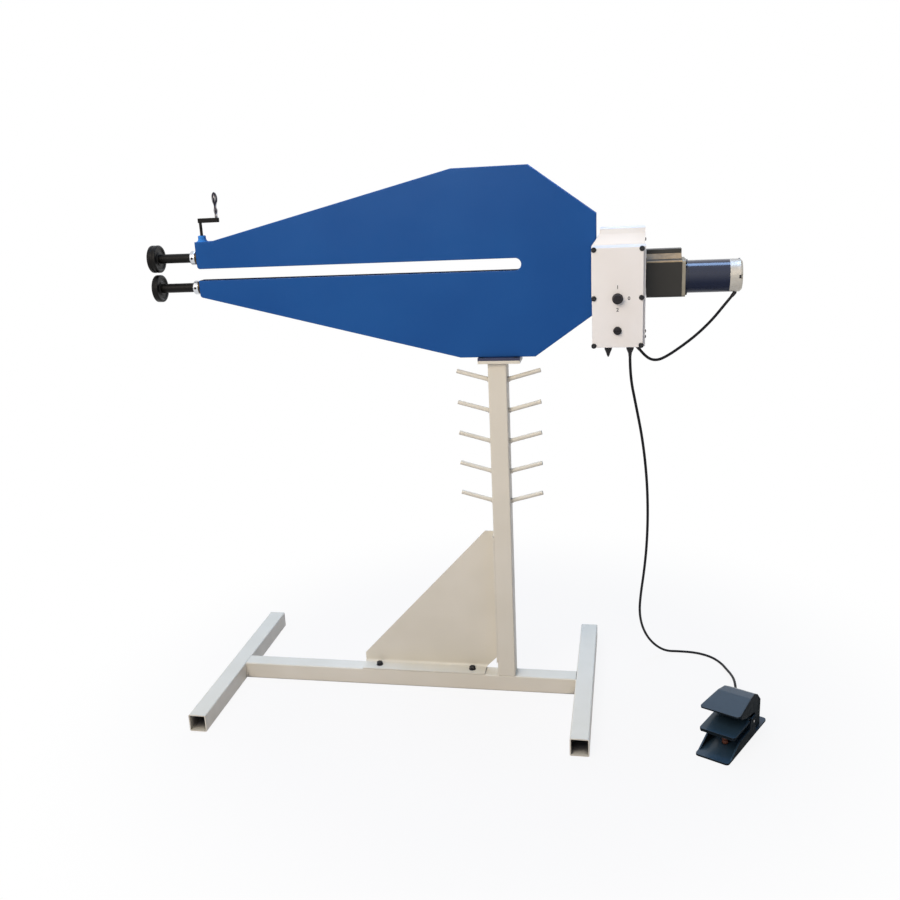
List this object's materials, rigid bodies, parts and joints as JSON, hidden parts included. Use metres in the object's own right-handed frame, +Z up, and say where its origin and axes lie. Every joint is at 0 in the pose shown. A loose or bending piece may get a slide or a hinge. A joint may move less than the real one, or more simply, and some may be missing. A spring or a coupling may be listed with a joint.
{
  "type": "bead roller",
  "caption": "Motorised deep-throat bead roller on a floor stand: slotted frame box, two geared shafts with dies, screw-set upper die, control box, gear motor and guarded foot switch.",
  "frame": {"origin": "on the floor, under the middle of the stand's post", "axes": "+X along the frame towards the motor, -Y towards the operator, +Z up"},
  "size_m": [1.6636, 0.66, 1.4595],
  "materials": {
    "stand_paint": "satin cream enamel on welded square tube",
    "blue_paint": "smooth blue powder coat",
    "dark_blue_paint": "dark blue enamel",
    "box_paint": "fine textured off-white powder coat",
    "gearbox_paint": "satin black on an aluminium casting",
    "motor_paint": "blue-black gloss paint",
    "pedal_paint": "dark grey paint on cast and pressed metal",
    "black_steel": "blackened turned steel, oiled",
    "dark_steel": "blackened fasteners",
    "plain_steel": "machined bare steel",
    "zinc_plate": "bright zinc plate",
    "chrome_plate": "polished chrome plate",
    "bronze": "turned bearing bronze",
    "cast_aluminium": "die-cast aluminium, lightly machined",
    "black_plastic": "moulded black plastic",
    "cable_rubber": "matt black cable sheath",
    "buffer_rubber": "red-brown rubber"
  },
  "bodies": {
    "frame": {"left_foot": "stand_paint", "right_foot": "stand_paint", "cross_beam": "stand_paint", "post": "stand_paint", "post_top_plate": "stand_paint", "tool_pegs": "stand_paint", "gusset_plate": "stand_paint", "frame_bolts": "dark_steel", "frame_base_flange": "dark_blue_paint", "flange_screws": "dark_steel", "frame_front_plate": "blue_paint", "frame_back_plate": "blue_paint", "frame_rim": "blue_paint", "slot_liner": "blue_paint", "screw_boss": "blue_paint", "lower_nose_block": "plain_steel", "lower_shaft_bushes": "bronze", "rear_bearing_block": "plain_steel", "swivel_race": "plain_steel", "gear_housing": "box_paint", "gear_cover": "box_paint", "housing_screws": "dark_steel", "control_box": "box_paint", "control_box_lid": "box_paint", "lid_screws": "dark_steel", "rotary_switch": "black_plastic", "fuse_holder": "black_plastic", "cable_glands": "black_plastic", "gearbox_case": "gearbox_paint", "motor_flange": "cast_aluminium", "motor_screws": "dark_steel", "motor_body": "motor_paint", "motor_end_cap": "cast_aluminium", "motor_cable": "cable_rubber", "pedal_cord": "cable_rubber", "pedal_base": "pedal_paint", "treadle_pin": "plain_steel", "treadle_buffer": "buffer_rubber", "pedal_hood": "pedal_paint", "pedal_switch": "black_plastic"},
    "lower_shaft": {"lower_shaft": "black_steel", "lower_gear": "plain_steel", "lower_collar": "zinc_plate", "lower_die": "black_steel", "lower_die_nut": "dark_steel", "output_shaft": "plain_steel"},
    "upper_carrier": {"upper_nose_block": "plain_steel", "upper_nose_bush": "bronze", "swivel_ball": "plain_steel"},
    "upper_shaft": {"upper_shaft": "black_steel", "upper_gear": "plain_steel", "upper_collar": "zinc_plate", "upper_die": "black_steel", "upper_die_nut": "dark_steel"},
    "crank": {"adjusting_screw": "black_steel", "crank_arm": "black_steel"},
    "crank_grip": {"crank_grip": "chrome_plate"},
    "switch_knob": {"switch_knob": "black_plastic"},
    "fuse_cap": {"fuse_cap": "black_plastic"},
    "treadle": {"pedal_treadle": "pedal_paint"}
  },
  "joints": [
    {"name": "lower_shaft_spin", "type": "hinge", "parent": "frame", "child": "lower_shaft", "pos_m": [0, 0, 1.183], "axis": [1, 0, 0], "continuous": true},
    {"name": "upper_carrier_tilt", "type": "hinge", "parent": "frame", "child": "upper_carrier", "pos_m": [0.2865, 0, 1.2565], "axis": [0, 1, 0], "range_deg": [-0.26, 0.278]},
    {"name": "upper_shaft_spin", "type": "hinge", "parent": "upper_carrier", "child": "upper_shaft", "pos_m": [0.2865, 0, 1.2565], "axis": [1, 0, -0.0053], "continuous": true},
    {"name": "crank_turn", "type": "hinge", "parent": "upper_carrier", "child": "crank", "pos_m": [-0.7945, 0, 1.36], "axis": [0, 0, 1], "range_deg": [-1010, 1080]},
    {"name": "crank_grip_spin", "type": "hinge", "parent": "crank", "child": "crank_grip", "pos_m": [-0.7465, 0, 1.4], "axis": [0, 0, 1], "continuous": true},
    {"name": "switch_knob_turn", "type": "hinge", "parent": "frame", "child": "switch_knob", "pos_m": [0.311, -0.125, 1.1375], "axis": [0, 1, 0], "range_deg": [-90, 90]},
    {"name": "fuse_cap_turn", "type": "hinge", "parent": "frame", "child": "fuse_cap", "pos_m": [0.311, -0.125, 1.06], "axis": [0, 1, 0], "range_deg": [0, 90]},
    {"name": "treadle_press", "type": "hinge", "parent": "frame", "child": "treadle", "pos_m": [0.6223, -0.17057, 0.048], "axis": [0.8854, -0.4648, 0], "range_deg": [0, 12], "stiffness_Nm_per_rad": 8, "springref_deg": -6.88, "deforming": ["treadle_buffer"]}
  ],
  "couplings": [
    {"joint": "upper_shaft_spin", "follows": "lower_shaft_spin", "ratio": -1},
    {"joint": "crank_turn", "follows": "upper_carrier_tilt", "ratio": 3881.2}
  ]
}
